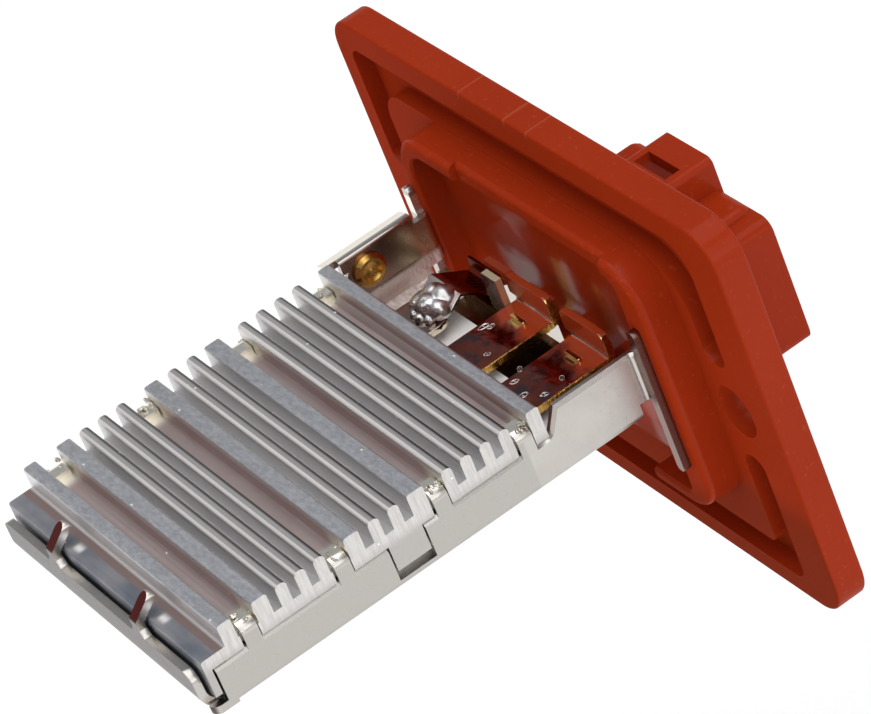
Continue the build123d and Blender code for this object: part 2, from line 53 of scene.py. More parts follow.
# camera: place and turn are the ones that lay the part over the photograph
cameraSetup = {
    "place": (0.40187, -0.16132, 0.29577),
    "right": (0.5176979, 0.79320468, -0.32064814),
    "down": (0.35615756, -0.54056476, -0.76219521),
    "ahead": (-0.77790789, 0.2803856, -0.56235508),
    "lens": 210.24,
    "sensor": 36.0,
}


def makeCamera():
    data = bpy.data.cameras.new("photoCamera")
    data.lens = cameraSetup["lens"]
    data.sensor_width = cameraSetup["sensor"]
    data.clip_start = 0.01
    data.clip_end = 20
    camera = bpy.data.objects.new("photoCamera", data)
    bpy.context.scene.collection.objects.link(camera)
    right = Vector(cameraSetup["right"])
    up = -Vector(cameraSetup["down"])
    back = -Vector(cameraSetup["ahead"])
    turn = Matrix((right, up, back)).transposed().to_4x4()
    camera.matrix_world = Matrix.Translation(cameraSetup["place"]) @ turn
    bpy.context.scene.camera = camera
    print("camera placed")


makeCamera()


# small helpers for shader trees
def startMaterial(name, metallic, roughness):
    material = bpy.data.materials.new(name)
    material.use_nodes = True
    tree = material.node_tree
    shader = tree.nodes["Principled BSDF"]
    shader.inputs["Metallic"].default_value = metallic
    shader.inputs["Roughness"].default_value = roughness
    shader.inputs["IOR"].default_value = 1.5
    return material, tree, shader


def surfacePlace(tree, stretch, shift=(0, 0, 0)):  # object coordinates, stretched per metre
    coords = tree.nodes.new("ShaderNodeTexCoord")
    mapping = tree.nodes.new("ShaderNodeMapping")
    mapping.inputs["Scale"].default_value = stretch
    mapping.inputs["Location"].default_value = shift
    tree.links.new(coords.outputs["Object"], mapping.inputs["Vector"])
    return mapping.outputs["Vector"]


def cloud(tree, stretch, detail=3.0, rough=0.5, shift=(0, 0, 0)):  # noise from 0 to 1
    made = tree.nodes.new("ShaderNodeTexNoise")
    made.inputs["Scale"].default_value = 1.0
    made.inputs["Detail"].default_value = detail
    made.inputs["Roughness"].default_value = rough
    tree.links.new(surfacePlace(tree, stretch, shift), made.inputs["Vector"])
    return made.outputs["Fac"]


def remap(tree, source, fromLow, fromHigh, toLow, toHigh, smooth=False):
    made = tree.nodes.new("ShaderNodeMapRange")
    made.interpolation_type = "SMOOTHSTEP" if smooth else "LINEAR"
    tree.links.new(source, made.inputs["Value"])
    for key, value in (
        ("From Min", fromLow),
        ("From Max", fromHigh),
        ("To Min", toLow),
        ("To Max", toHigh),
    ):
        made.inputs[key].default_value = value
    return made.outputs["Result"]


def calc(tree, kind, first, second=None):
    made = tree.nodes.new("ShaderNodeMath")
    made.operation = kind
    for socket, value in zip(made.inputs, (first, second)):
        if value is None:
            continue
        if isinstance(value, (int, float)):
            socket.default_value = value
        else:
            tree.links.new(value, socket)
    return made.outputs["Value"]


def both(tree, first, second):
    return calc(tree, "MULTIPLY", first, second)


def either(tree, first, second):
    return calc(tree, "MAXIMUM", first, second)


def blendColour(tree, amount, first, second):
    made = tree.nodes.new("ShaderNodeMix")
    made.data_type = "RGBA"
    tree.links.new(amount, made.inputs[0])
    for socket, value in ((made.inputs[6], first), (made.inputs[7], second)):
        if isinstance(value, tuple):
            socket.default_value = (*value, 1.0)
        else:
            tree.links.new(value, socket)
    return made.outputs[2]


def bump(tree, shader, height, distance, strength=1.0, under=None):
    made = tree.nodes.new("ShaderNodeBump")
    made.inputs["Strength"].default_value = strength
    made.inputs["Distance"].default_value = distance
    tree.links.new(height, made.inputs["Height"])
    if under is not None:
        tree.links.new(under, made.inputs["Normal"])
    tree.links.new(made.outputs["Normal"], shader.inputs["Normal"])
    return made.outputs["Normal"]


def axisOf(tree, source, axis):  # one number of a vector
    split = tree.nodes.new("ShaderNodeSeparateXYZ")
    tree.links.new(source, split.inputs[0])
    return split.outputs[axis]


def facing(tree, axis):  # how far the surface looks along +X, +Y or +Z, from the true normal
    geometry = tree.nodes.new("ShaderNodeNewGeometry")
    return axisOf(tree, geometry.outputs["True Normal"], axis)


def objectAxis(tree, axis):
    coords = tree.nodes.new("ShaderNodeTexCoord")
    return axisOf(tree, coords.outputs["Object"], axis)


def within(tree, value, low, high, soft):  # 1 between low and high, fading over soft
    rise = remap(tree, value, low - soft, low, 0.0, 1.0, True)
    fall = remap(tree, value, high, high + soft, 1.0, 0.0, True)
    return both(tree, rise, fall)


def boxMask(tree, sides, soft):  # 1 inside a box given as pairs in mm, None leaves an axis open
    made = None
    for axis, pair in enumerate(sides):
        if pair is None:
            continue
        band = within(tree, objectAxis(tree, axis), pair[0] * mm, pair[1] * mm, soft * mm)
        made = band if made is None else both(tree, made, band)
    return made


# moulded plastic
plasticSetup = {
    "deep": (0.290, 0.0235, 0.0045),
    "light": (0.360, 0.0320, 0.0070),
    "speck": (0.44, 0.080, 0.035),
    "speckAmount": 0.28,
    "lowFrontShade": (0.150, 0.0190, 0.0050),  # painted shade, darker towards the lower edge of the front
    "lowFrontShadeHeights": (-13.5 * mm, -8.5 * mm),
    "lowFrontShadeAmount": 0.60,
    "roughness": (0.34, 0.46),
    "specular": 0.002,  # more would mirror the pale floor in the front faces
    "polish": 0.45,  # most gloss over the chamber floor, in patches
    "polishRoughness": 0.14,
    "sheen": 0.18,  # gloss of everything that doesn't look to the front
    "chamber": ((-20.0, 20.0), (-1.4, 0.2), (-12.7, 15.2)),  # polished floor, in mm
    "grain": 0.011 * mm,
    "gateMarks": ((-9.1, 0.10), (-0.4, 0.16), (3.8, 0.10)),  # x in mm and half width
    "gateHeights": (23.6 * mm, 24.2 * mm),
}


def makePlastic():
    s = plasticSetup
    material, tree, shader = startMaterial("brickPlastic", 0.0, 0.32)
    drift = cloud(tree, (55, 55, 55), 2)
    fine = cloud(tree, (2600, 2600, 2600), 2)
    flow = cloud(tree, (60, 300, 60), 3, shift=(3, 1, 2))
    x = objectAxis(tree, 0)
    z = objectAxis(tree, 2)
    lookAlong = facing(tree, 1)
    colour = blendColour(tree, drift, s["deep"], s["light"])
    specks = cloud(tree, (1500, 1500, 1500), 1, shift=(5, 5, 1))
    specks = remap(tree, specks, 0.62, 0.80, 0.0, s["speckAmount"], True)
    colour = blendColour(tree, specks, colour, s["speck"])
    # painted shade on the faces that look to the front, near the lower edge
    lookFront = remap(tree, lookAlong, -0.9, -0.5, 1.0, 0.0, True)
    low = remap(tree, z, *s["lowFrontShadeHeights"], s["lowFrontShadeAmount"], 0.0, True)
    colour = blendColour(tree, both(tree, lookFront, low), colour, s["lowFrontShade"])
    tree.links.new(remap(tree, flow, 0.3, 0.7, *s["roughness"]), shader.inputs["Roughness"])
    # gloss: patches on the chamber floor, a little on all that doesn't look to the front
    patches = remap(tree, cloud(tree, (170, 170, 240), 2, 0.4, (2, 2, 9)), 0.42, 0.60, 0.15, 1.0, True)
    polished = both(tree, both(tree, boxMask(tree, s["chamber"], 0.3), patches), s["polish"])
    sheen = remap(tree, lookAlong, -0.80, -0.35, 0.0, s["sheen"], True)
    tree.links.new(either(tree, polished, sheen), shader.inputs["Coat Weight"])
    shader.inputs["Coat Roughness"].default_value = s["polishRoughness"]
    shader.inputs["Specular IOR Level"].default_value = s["specular"]
    # three lines over the top edge, left by the mould's gates
    marks = None
    for centre, half in s["gateMarks"]:
        line = within(tree, x, (centre - half) * mm, (centre + half) * mm, 0.12 * mm)
        marks = line if marks is None else either(tree, marks, line)
    marks = both(tree, marks, remap(tree, z, *s["gateHeights"], 0.0, 1.0, True))
    colour = blendColour(tree, both(tree, marks, 0.5), colour, s["speck"])
    tree.links.new(colour, shader.inputs["Base Color"])
    first = bump(tree, shader, marks, 0.08 * mm, 0.8)
    second = bump(tree, shader, flow, 0.05 * mm, 0.35, first)
    bump(tree, shader, fine, s["grain"], 0.7, second)
    return material


# drawn and sawn aluminium
aluminiumSetup = {
    "dark": (0.70, 0.685, 0.685),
    "light": (0.83, 0.815, 0.81),
    "sawn": ((0.58, 0.56, 0.54), (0.72, 0.70, 0.675)),
    "sawnLow": (0.50, 0.48, 0.46),
    # painted reflection, brown in the clamped gaps
    "gapReflection": (0.50, 0.385, 0.370),
    "pale": (0.80, 0.76, 0.66),  # painted reflection, paler, in the gaps next to the tabs
    # painted blue-grey reflection on the flat tops of the wide fins
    "topBandReflection": ((0.40, 0.405, 0.43), (0.56, 0.565, 0.60)),
    # painted light and shade on the crests of the thin fins
    "crestHighlight": (0.97, 0.90, 0.89),
    "crestTop": (0.50, 0.49, 0.49),
    "crestShade": (0.13, 0.115, 0.115),
    # painted reflections on the front plate: blue, pink at the foot of the first fin
    "plate": ((0.22, 0.24, 0.285), (0.38, 0.375, 0.40)),
    "platePinkReflection": (0.34, 0.25, 0.235),
    "plateEnds": (-55.6, -55.3),  # y in mm
    "plateFoot": (-56.2, -55.3),
    "glint": (1.0, 0.98, 0.97),
    "glints": ((-6.9, -6.3), (10.9, 11.5)),  # x in mm, beside the finger roots
    "glintPlace": ((-57.0, -56.95), (5.5, 6)),
    "gapHeights": (6.9, 7.9),
    "gapEnds": (15.8, 17.8),  # distance from the middle where the gaps turn pale
    "crestHeights": (7.35, 7.6),
    "topHeights": (8.0, 8.15),
    "sawnLowHeights": (3.8, 5.4),
    "crumb": (0.95, 0.94, 0.92),
    "roughness": (0.40, 0.52),
    "drawLines": (18, 2400, 2400),
    "sawLines": (900, 5200, 330),
    "gaps": ((-53.6, -51.1), (-42.4, -40.0), (-30.3, -28.1), (-19.85, -17.6)),  # the clamped ones
    "tops": ((-55.2, -53.6), (-51.1, -49.3), (-40.0, -38.2), (-32.3, -30.3), (-17.6, -16.1)),
}


def bands(tree, value, pairs, soft):  # 1 inside any of the pairs, given in mm
    made = None
    for low, high in pairs:
        band = within(tree, value, low * mm, high * mm, soft * mm)
        made = band if made is None else either(tree, made, band)
    return made


def fade(tree, value, pair, start=0.0, end=1.0):  # soft step between two places in mm
    return remap(tree, value, pair[0] * mm, pair[1] * mm, start, end, True)


def makeAluminium():
    s = aluminiumSetup
    material, tree, shader = startMaterial("drawnAluminium", 1.0, 0.35)
    lines = cloud(tree, s["drawLines"], 3, 0.6)
    broad = cloud(tree, (22, 300, 300), 2, shift=(1, 4, 2))
    patches = cloud(tree, (160, 240, 240), 3, shift=(7, 4, 2))
    mottle = cloud(tree, (1300, 2600, 2600), 3, 0.7, (2, 1, 1))
    y = objectAxis(tree, 1)
    z = objectAxis(tree, 2)
    fromMiddle = calc(tree, "ABSOLUTE", objectAxis(tree, 0))
    drawn = blendColour(tree, remap(tree, broad, 0.3, 0.7, 0.0, 1.0), s["dark"], s["light"])
    # front plate: painted blue reflection, a painted pink reflection at the foot of the first fin and two
    # painted glints
    plate = blendColour(tree, remap(tree, patches, 0.3, 0.7, 0.0, 1.0, True), *s["plate"])
    plate = blendColour(tree, bands(tree, y, (s["plateFoot"],), 0.3), plate, s["platePinkReflection"])
    for pair in s["glints"]:
        spot = boxMask(tree, (pair, *s["glintPlace"]), 0.75)
        plate = blendColour(tree, spot, plate, s["glint"])
    drawn = blendColour(tree, fade(tree, y, s["plateEnds"], 1.0, 0.0), drawn, plate)
    # painted reflection, brown in the clamped gaps, paler at both ends
    gapReflectionMask = both(tree, bands(tree, y, s["gaps"], 0.15), fade(tree, z, s["gapHeights"], 0.9, 0.0))
    gapReflectionTone = blendColour(tree, remap(tree, patches, 0.3, 0.7, 0.0, 0.16), s["gapReflection"], s["light"])
    gapReflectionTone = blendColour(tree, fade(tree, fromMiddle, s["gapEnds"]), gapReflectionTone, s["pale"])
    drawn = blendColour(tree, gapReflectionMask, drawn, gapReflectionTone)
    # crests of the thin fins: painted highlight in front, painted shade behind, a mid tone on top
    tilt = facing(tree, 1)
    high = fade(tree, z, s["crestHeights"])
    crests = (
        ("crestTop", within(tree, tilt, -0.25, 0.2, 0.1)),
        ("crestHighlight", within(tree, tilt, -0.62, -0.32, 0.08)),
        ("crestShade", remap(tree, tilt, 0.05, 0.35, 0.0, 1.0)),
    )
    for tone, amount in crests:
        drawn = blendColour(tree, both(tree, high, amount), drawn, s[tone])
    # flat tops of the wide fins: painted blue-grey reflection
    top = both(tree, bands(tree, y, s["tops"], 0.1), fade(tree, z, s["topHeights"]))
    band = blendColour(tree, remap(tree, mottle, 0.35, 0.65, 0.0, 1.0), *s["topBandReflection"])
    drawn = blendColour(tree, top, drawn, band)
    # sawn ends
    endFace = remap(tree, calc(tree, "ABSOLUTE", facing(tree, 0)), 0.5, 0.8, 0.0, 1.0)
    saw = cloud(tree, s["sawLines"], 3, 0.7, (2, 2, 5))
    sawn = blendColour(tree, remap(tree, saw, 0.35, 0.6, 0.0, 1.0), *s["sawn"])
    sawn = blendColour(tree, fade(tree, z, s["sawnLowHeights"], 1.0, 0.0), sawn, s["sawnLow"])
    colour = blendColour(tree, endFace, drawn, sawn)
    # crumbs of metal
    dots = tree.nodes.new("ShaderNodeTexVoronoi")
    dots.inputs["Scale"].default_value = 1.0
    tree.links.new(surfacePlace(tree, (330, 420, 420), (3, 0, 0)), dots.inputs["Vector"])
    crumbs = remap(tree, dots.outputs["Distance"], 0.045, 0.075, 1.0, 0.0, True)
    colour = blendColour(tree, crumbs, colour, s["crumb"])
    tree.links.new(colour, shader.inputs["Base Color"])
    tree.links.new(remap(tree, lines, 0.3, 0.7, *s["roughness"]), shader.inputs["Roughness"])
    grooves = tree.nodes.new("ShaderNodeMix")
    tree.links.new(endFace, grooves.inputs[0])
    tree.links.new(lines, grooves.inputs[2])
    tree.links.new(saw, grooves.inputs[3])
    first = bump(tree, shader, grooves.outputs[0], 0.012 * mm, 0.7)
    second = bump(tree, shader, mottle, 0.006 * mm, 0.5, first)
    bump(tree, shader, crumbs, 0.08 * mm, 0.6, second)
    return material


# tinned sheet
tinSetup = {
    "dull": (0.48, 0.450, 0.420),
    "bright": (0.58, 0.550, 0.515),
    "frontShade": (0.085, 0.066, 0.058),
    "creamHighlight": (0.96, 0.92, 0.83),  # painted highlight on the rim of the left wall and the clamping tabs
    "innerShade": (0.30, 0.200, 0.165),  # inside of the left wall
    "olive": (0.66, 0.600, 0.400),  # the same, near the ear
    "rippled": (0.86, 0.780, 0.740),  # dipped corner of the floor
    "stopFace": (0.84, 0.780, 0.560),
    # painted dark reflection on the broad face of the clamping fingers
    "fingerFaceReflection": (0.085, 0.0090, 0.0080),
    # painted shade on the floor under the terminals
    "underTerminalsShade": (0.20, 0.120, 0.075),
    "earFace": (0.21, 0.110, 0.090),
    "leg": (0.47, 0.445, 0.415),  # side wall between the clamping tabs
    "boxes": {  # where the tones lie: x, y and z in mm, None leaves an axis open
        "rim": ((-30, -20.7), None, (6.9, 9)),
        "leftTabs": ((-21, -17), (-54, -17), (5.7, 7.4)),
        "rightTabs": ((17, 19.9), (-54, -17), (5.7, 7.4)),
        "innerWall": ((-19.95, -19.3), None, None),
        "dippedFloor": ((-20.2, -13.2), (-15.5, -5.0), (-0.2, 0.6)),
        "dippedWall": ((-20.2, -19.0), (-15.5, -4.2), (-0.2, 2.3)),
        "underTerminalsShade": ((-13, 16), (-12, -5.0), (-0.2, 1.7)),
        "ear": ((20.75, 24), (-8, 0), None),
        "leg": ((19.7, 21), (-58, -19), (-2, 5.4)),
        "stop": ((-6.4, -3.4), (-6.0, -4.6), (1.6, 6.4)),
        "fingers": (None, (-60, -55.6), (6.1, 9)),
    },
    "frontStarts": (-57.0, -55.0),  # y in mm
    "oliveStarts": (-10.5, -7.0),
    "roughness": (0.235, 0.285),
    "wave": 0.10 * mm,
}


def makeTin():
    s = tinSetup
    box = s["boxes"]
    material, tree, shader = startMaterial("brightTin", 1.0, 0.25)
    broad = cloud(tree, (110, 110, 110), 3, 0.55)
    fine = cloud(tree, (1400, 1400, 1400), 3, 0.6, (1, 0, 7))
    y = objectAxis(tree, 1)
    across = facing(tree, 0)
    along = facing(tree, 1)
    colour = blendColour(tree, remap(tree, broad, 0.3, 0.7, 0.0, 1.0), s["dull"], s["bright"])
    lookFront = remap(tree, along, -0.9, -0.4, 1.0, 0.0, True)
    front = both(tree, lookFront, fade(tree, y, s["frontStarts"], 1.0, 0.0))
    colour = blendColour(tree, front, colour, s["frontShade"])
    # painted highlight on the rim of the left wall and on the clamping tabs
    colour = blendColour(tree, boxMask(tree, box["rim"], 0.2), colour, s["creamHighlight"])
    tabs = either(tree, boxMask(tree, box["leftTabs"], 0.1), boxMask(tree, box["rightTabs"], 0.1))
    colour = blendColour(tree, tabs, colour, s["creamHighlight"])
    # inside of the left wall: brown, olive near the ear, rippled below
    lookRight = remap(tree, across, 0.5, 0.8, 0.0, 1.0, True)
    inside = both(tree, lookRight, boxMask(tree, box["innerWall"], 0.1))
    shade = blendColour(tree, fade(tree, y, s["oliveStarts"]), s["innerShade"], s["olive"])
    colour = blendColour(tree, inside, colour, shade)
    corner = either(tree, boxMask(tree, box["dippedFloor"], 0.4), boxMask(tree, box["dippedWall"], 0.7))
    stop = boxMask(tree, box["stop"], 0.1)
    for amount, tone in (
        (corner, "rippled"),
        # painted shade under the terminals
        (boxMask(tree, box["underTerminalsShade"], 0.3), "underTerminalsShade"),
        (boxMask(tree, box["ear"], 0.1), "earFace"),
        (boxMask(tree, box["leg"], 0.3), "leg"),
        (stop, "stopFace"),
    ):
        colour = blendColour(tree, amount, colour, s[tone])
    # painted dark reflection on the broad face of the clamping fingers
    finger = both(tree, boxMask(tree, box["fingers"], 0.25), remap(tree, across, 0.2, 0.5, 1.0, 0.0, True))
    finger = both(tree, finger, remap(tree, along, -0.35, -0.15, 1.0, 0.0, True))
    colour = blendColour(tree, finger, colour, s["fingerFaceReflection"])
    tree.links.new(colour, shader.inputs["Base Color"])
    rough = remap(tree, fine, 0.3, 0.75, *s["roughness"])
    dulled = either(tree, both(tree, corner, 0.30), both(tree, stop, 0.25))
    tree.links.new(calc(tree, "ADD", rough, dulled), shader.inputs["Roughness"])
    ripple = cloud(tree, (500, 1300, 500), 3, 0.65, (0, 0, 4))
    waves = bump(tree, shader, both(tree, ripple, corner), 0.30 * mm, 0.9)
    swell = cloud(tree, (90, 90, 90), 0.5, 0.4, (6, 1, 0))
    first = bump(tree, shader, swell, s["wave"], 0.5, waves)
    bump(tree, shader, fine, 0.002 * mm, 0.5, first)
    return material


# strip of the thermal link
springSetup = {
    "pale": (0.86, 0.80, 0.79),
    "dull": (0.60, 0.51, 0.50),
    "rear": (0.20, 0.022, 0.010),  # mirrors the red chamber
    "rearStart": (-8.9, -7.4),
}


def makeSpringMetal():
    s = springSetup
    material, tree, shader = startMaterial("springStrip", 1.0, 0.22)
    brushed = cloud(tree, (2600, 500, 500), 3, 0.6)
    broad = cloud(tree, (320, 320, 320), 2, shift=(4, 0, 0))
    colour = blendColour(tree, remap(tree, broad, 0.35, 0.65, 0.0, 1.0), s["dull"], s["pale"])
    rear = fade(tree, objectAxis(tree, 1), s["rearStart"])
    colour = blendColour(tree, rear, colour, s["rear"])
    tree.links.new(colour, shader.inputs["Base Color"])
    tree.links.new(remap(tree, brushed, 0.3, 0.7, 0.16, 0.30), shader.inputs["Roughness"])
    bump(tree, shader, brushed, 0.008 * mm, 0.6)
    return material


# flat terminals
terminalSetup = {
    # tin, tinted red-brown: painted reflection of the red housing
    "tin": (0.36, 0.105, 0.072),
    "tinDarkReflection": (0.21, 0.045, 0.032),
    "burnt": (0.075, 0.070, 0.085),  # blue patches round the welds
    "bare": (0.60, 0.54, 0.47),
    "brass": (0.80, 0.52, 0.16),
    "skin": (0.42, 0.050, 0.010),  # plastic that crept over the risers in moulding
    "skinStart": (-9.8, -7.0),  # y in mm
    "skinEnd": (-1.5, -0.5),
    "skinUneven": (-2.2 * mm, 1.2 * mm),
    "skinAmount": 0.85,
    "riserHeights": (3.3, 3.6),
    "riserStart": (-5.4, -5.0),
    "lug": (0.80, 0.56, 0.23),
    "lugRow": (None, (-7.0, -6.2), (3.14, 4)),
    "lugs": (0.0, 10.5),  # x in mm
    "lugHalf": 0.7,
    "lugSpot": ((-7.2, -6.4), (3, 4)),
    "leftTop": (0.30, 0.215, 0.180),  # the left one is dull brown
    "leftEdge": (0.85, 0.74, 0.60),
    "leftEnds": (-6.4, -6.0),
    "roughness": (0.05, 0.15),
}


def makeTerminalMetal():
    s = terminalSetup
    material, tree, shader = startMaterial("tinnedBrass", 1.0, 0.1)
    broad = cloud(tree, (260, 260, 260), 3, 0.6, (0, 3, 1))
    fine = cloud(tree, (1600, 1600, 1600), 3, 0.6)
    y = objectAxis(tree, 1)
    z = objectAxis(tree, 2)
    onLeft = fade(tree, objectAxis(tree, 0), s["leftEnds"], 1.0, 0.0)
    # tin tones with a painted red-brown reflection of the housing
    tinned = blendColour(tree, remap(tree, broad, 0.35, 0.65, 0.0, 1.0), s["tin"], s["tinDarkReflection"])
    burnt = remap(tree, cloud(tree, (480, 480, 480), 4, 0.6, (9, 3, 1)), 0.50, 0.62, 0.0, 0.85, True)
    tinned = blendColour(tree, burnt, tinned, s["burnt"])
    tinned = blendColour(tree, onLeft, tinned, s["leftTop"])
    edges = blendColour(tree, onLeft, s["brass"], s["leftEdge"])
    sheared = remap(tree, calc(tree, "ABSOLUTE", facing(tree, 0)), 0.55, 0.85, 0.0, 1.0)
    flatTop = remap(tree, facing(tree, 2), 0.6, 0.9, 0.0, 1.0, True)
    colour = blendColour(tree, flatTop, s["bare"], tinned)
    colour = blendColour(tree, sheared, colour, edges)
    # skin of plastic on the risers and on the tops in front of them
    frontFace = remap(tree, facing(tree, 1), -0.95, -0.7, 1.0, 0.0, True)
    riser = both(tree, frontFace, fade(tree, z, s["riserHeights"]))
    riser = both(tree, riser, fade(tree, y, s["riserStart"]))
    uneven = calc(tree, "ADD", y, remap(tree, broad, 0.3, 0.7, *s["skinUneven"]))
    crept = fade(tree, uneven, s["skinStart"], 0.0, s["skinAmount"])
    crept = both(tree, crept, fade(tree, y, s["skinEnd"], 1.0, 0.0))
    skin = either(tree, riser, both(tree, crept, flatTop))
    colour = blendColour(tree, skin, colour, s["skin"])
    # bare lugs
    lug = boxMask(tree, s["lugRow"], 0.03)
    for centre in s["lugs"]:
        across = (centre - s["lugHalf"], centre + s["lugHalf"])
        lug = either(tree, lug, boxMask(tree, (across, *s["lugSpot"]), 0.4))
    colour = blendColour(tree, lug, colour, s["lug"])
    tree.links.new(colour, shader.inputs["Base Color"])
    covered = both(tree, skin, calc(tree, "SUBTRACT", 1.0, lug))
    tree.links.new(calc(tree, "SUBTRACT", 1.0, covered), shader.inputs["Metallic"])
    tree.links.new(remap(tree, fine, 0.3, 0.7, *s["roughness"]), shader.inputs["Roughness"])
    first = bump(tree, shader, broad, 0.09 * mm, 0.6)
    bump(tree, shader, fine, 0.004 * mm, 0.5, first)
    return material


brassSetup = {  # light tone, dark tone, roughness
    "shearedBrass": ((0.90, 0.62, 0.20), (0.42, 0.23, 0.05), 0.20),
    "tornSheet": ((0.92, 0.89, 0.82), (0.55, 0.52, 0.46), 0.25),
    "rivetBrass": ((0.72, 0.43, 0.12), (0.55, 0.31, 0.08), 0.24),
}


def makeBrass(name):
    colour, dark, roughness = brassSetup[name]
    material, tree, shader = startMaterial(name, 1.0, roughness)
    broad = cloud(tree, (500, 500, 500), 3, 0.6, (2, 0, 1))
    made = blendColour(tree, remap(tree, broad, 0.35, 0.65, 0.0, 1.0), colour, dark)
    tree.links.new(made, shader.inputs["Base Color"])
    tree.links.new(remap(tree, broad, 0.3, 0.7, roughness * 0.7, roughness * 1.4), shader.inputs["Roughness"])
    fine = cloud(tree, (2200, 2200, 2200), 3, 0.6)
    bump(tree, shader, fine, 0.015 * mm, 0.8)
    return material


solderSetup = {
    "dull": (0.46, 0.445, 0.44),
    "bright": (0.74, 0.73, 0.73),
    "roughness": (0.24, 0.40),
}


def makeSolder():
    s = solderSetup
    material, tree, shader = startMaterial("softSolder", 1.0, 0.22)
    broad = cloud(tree, (900, 900, 900), 4, 0.6)
    colour = blendColour(tree, remap(tree, broad, 0.35, 0.65, 0.0, 1.0), s["dull"], s["bright"])
    tree.links.new(colour, shader.inputs["Base Color"])
    tree.links.new(remap(tree, broad, 0.3, 0.7, *s["roughness"]), shader.inputs["Roughness"])
    bump(tree, shader, broad, 0.03 * mm, 0.7)
    return material


def makeMatt(name, low, high, roughness, stretch):
    material, tree, shader = startMaterial(name, 0.0, roughness)
    fine = cloud(tree, (stretch, stretch, stretch), 4, 0.6)
    colour = blendColour(tree, remap(tree, fine, 0.3, 0.7, 0.0, 1.0), low, high)
    tree.links.new(colour, shader.inputs["Base Color"])
    bump(tree, shader, fine, 0.01 * mm, 0.6)
    return material


cardSetup = {
    "fired": ((0.88, 0.87, 0.84), (0.96, 0.95, 0.92)),
    "dipped": ((0.52, 0.44, 0.40), (0.85, 0.76, 0.71)),  # tinned corner beside the thermal link
    "corner": ((-30, -13.3), (-17, 0), None),  # where it was dipped, in mm
    "roughness": (0.55, 0.36),
}


def makeCard():
    s = cardSetup
    material, tree, shader = startMaterial("firedCeramic", 0.0, 0.55)
    fine = cloud(tree, (1800, 1800, 1800), 4, 0.6)
    ripple = cloud(tree, (500, 1300, 500), 3, 0.65, (0, 0, 4))
    fired = blendColour(tree, remap(tree, fine, 0.3, 0.7, 0.0, 1.0), *s["fired"])
    dipped = blendColour(tree, remap(tree, ripple, 0.35, 0.65, 0.0, 1.0), *s["dipped"])
    corner = boxMask(tree, s["corner"], 0.3)
    tree.links.new(blendColour(tree, corner, fired, dipped), shader.inputs["Base Color"])
    tree.links.new(remap(tree, corner, 0.0, 1.0, *s["roughness"]), shader.inputs["Roughness"])
    first = bump(tree, shader, both(tree, ripple, corner), 0.30 * mm, 0.9)
    bump(tree, shader, fine, 0.01 * mm, 0.6, first)
    return material


finishes = {
    "housing_plastic": makePlastic(),
    "extruded_aluminium": makeAluminium(),
    "plated_sheet": makeTin(),
    "tinned_brass": makeTerminalMetal(),
    "sheared_brass": makeBrass("shearedBrass"),
    "torn_sheet": makeBrass("tornSheet"),
    "rivet_brass": makeBrass("rivetBrass"),
    "spring_strip": makeSpringMetal(),
    "solder": makeSolder(),
    "card_ceramic": makeCard(),
    "resistor_ink": makeMatt("glazedInk", (0.03, 0.035, 0.04), (0.06, 0.065, 0.07), 0.3, 900),
}
slotOfNode = {part["node"]: part["material_slot"] for part in frame["record"]["subparts"]}
print("made", len(finishes), "finishes")


# CAD pieces with their finish, the main ones with eased edges
easedSetup = {
    "widths": {  # in mm
        "housing": 0.14,
        "heat_sink": 0.10,
        "bracket_tray": 0.09,
        "terminal_left": 0.09,
        "terminal_centre": 0.09,
        "terminal_right": 0.09,
        "fuse_spring": 0.06,
    },
    "angle": math.radians(35),  # flatter edges stay as they are
    "flatAngle": math.radians(0.3),  # facets this flat are joined first
    "mergeDistance": 0.0004 * mm,
    "faceWeight": 90,
}


def addPiece(name, mesh, finish):
    piece = bpy.data.objects.new(name, mesh)
    bpy.context.scene.collection.objects.link(piece)
    mesh.materials.clear()
    mesh.materials.append(finish)
    return piece


def applied(piece):  # turns modifiers into a plain mesh
    graph = bpy.context.evaluated_depsgraph_get()
    mesh = bpy.data.meshes.new_from_object(piece.evaluated_get(graph))
    piece.modifiers.clear()
    piece.data = mesh
    return piece


def mergedMesh(name, node):
    mesh = bpy.data.meshes.new(name)
    form = bmesh.new()
    form.from_mesh(node.data)
    bmesh.ops.remove_doubles(form, verts=form.verts, dist=easedSetup["mergeDistance"])
    bmesh.ops.dissolve_limit(
        form, angle_limit=easedSetup["flatAngle"], verts=form.verts, edges=form.edges
    )
    form.to_mesh(mesh)
    form.free()
    return mesh


def easeEdges(nodeName, width):
    angle = easedSetup["angle"]
    slot = slotOfNode[nodeName]
    piece = addPiece(nodeName + ".eased", mergedMesh(nodeName, nodes[nodeName]), finishes[slot])
    modifier = piece.modifiers.new("easedEdge", "BEVEL")
    modifier.width = width * mm
    modifier.segments = 2
    modifier.limit_method = "ANGLE"
    modifier.angle_limit = angle
    modifier.miter_outer = "MITER_ARC"
    modifier.use_clamp_overlap = True
    applied(piece)
    piece.data.shade_smooth()
    piece.data.set_sharp_from_angle(angle=angle)
    flat = piece.modifiers.new("flatFaces", "WEIGHTED_NORMAL")  # broad faces stay flat up to the bevel
    flat.keep_sharp = True
    flat.weight = easedSetup["faceWeight"]
    applied(piece)
    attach(piece, "root")
    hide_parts(nodeName)
    return piece


def dressNodes():
    widths = easedSetup["widths"]
    for name, node in nodes.items():
        if name in widths:
            easeEdges(name, widths[name])
            continue
        node.data.materials.clear()
        node.data.materials.append(finishes[slotOfNode[name]])
    print("finishes on", len(nodes), "pieces,", len(widths), "with eased edges")


dressNodes()


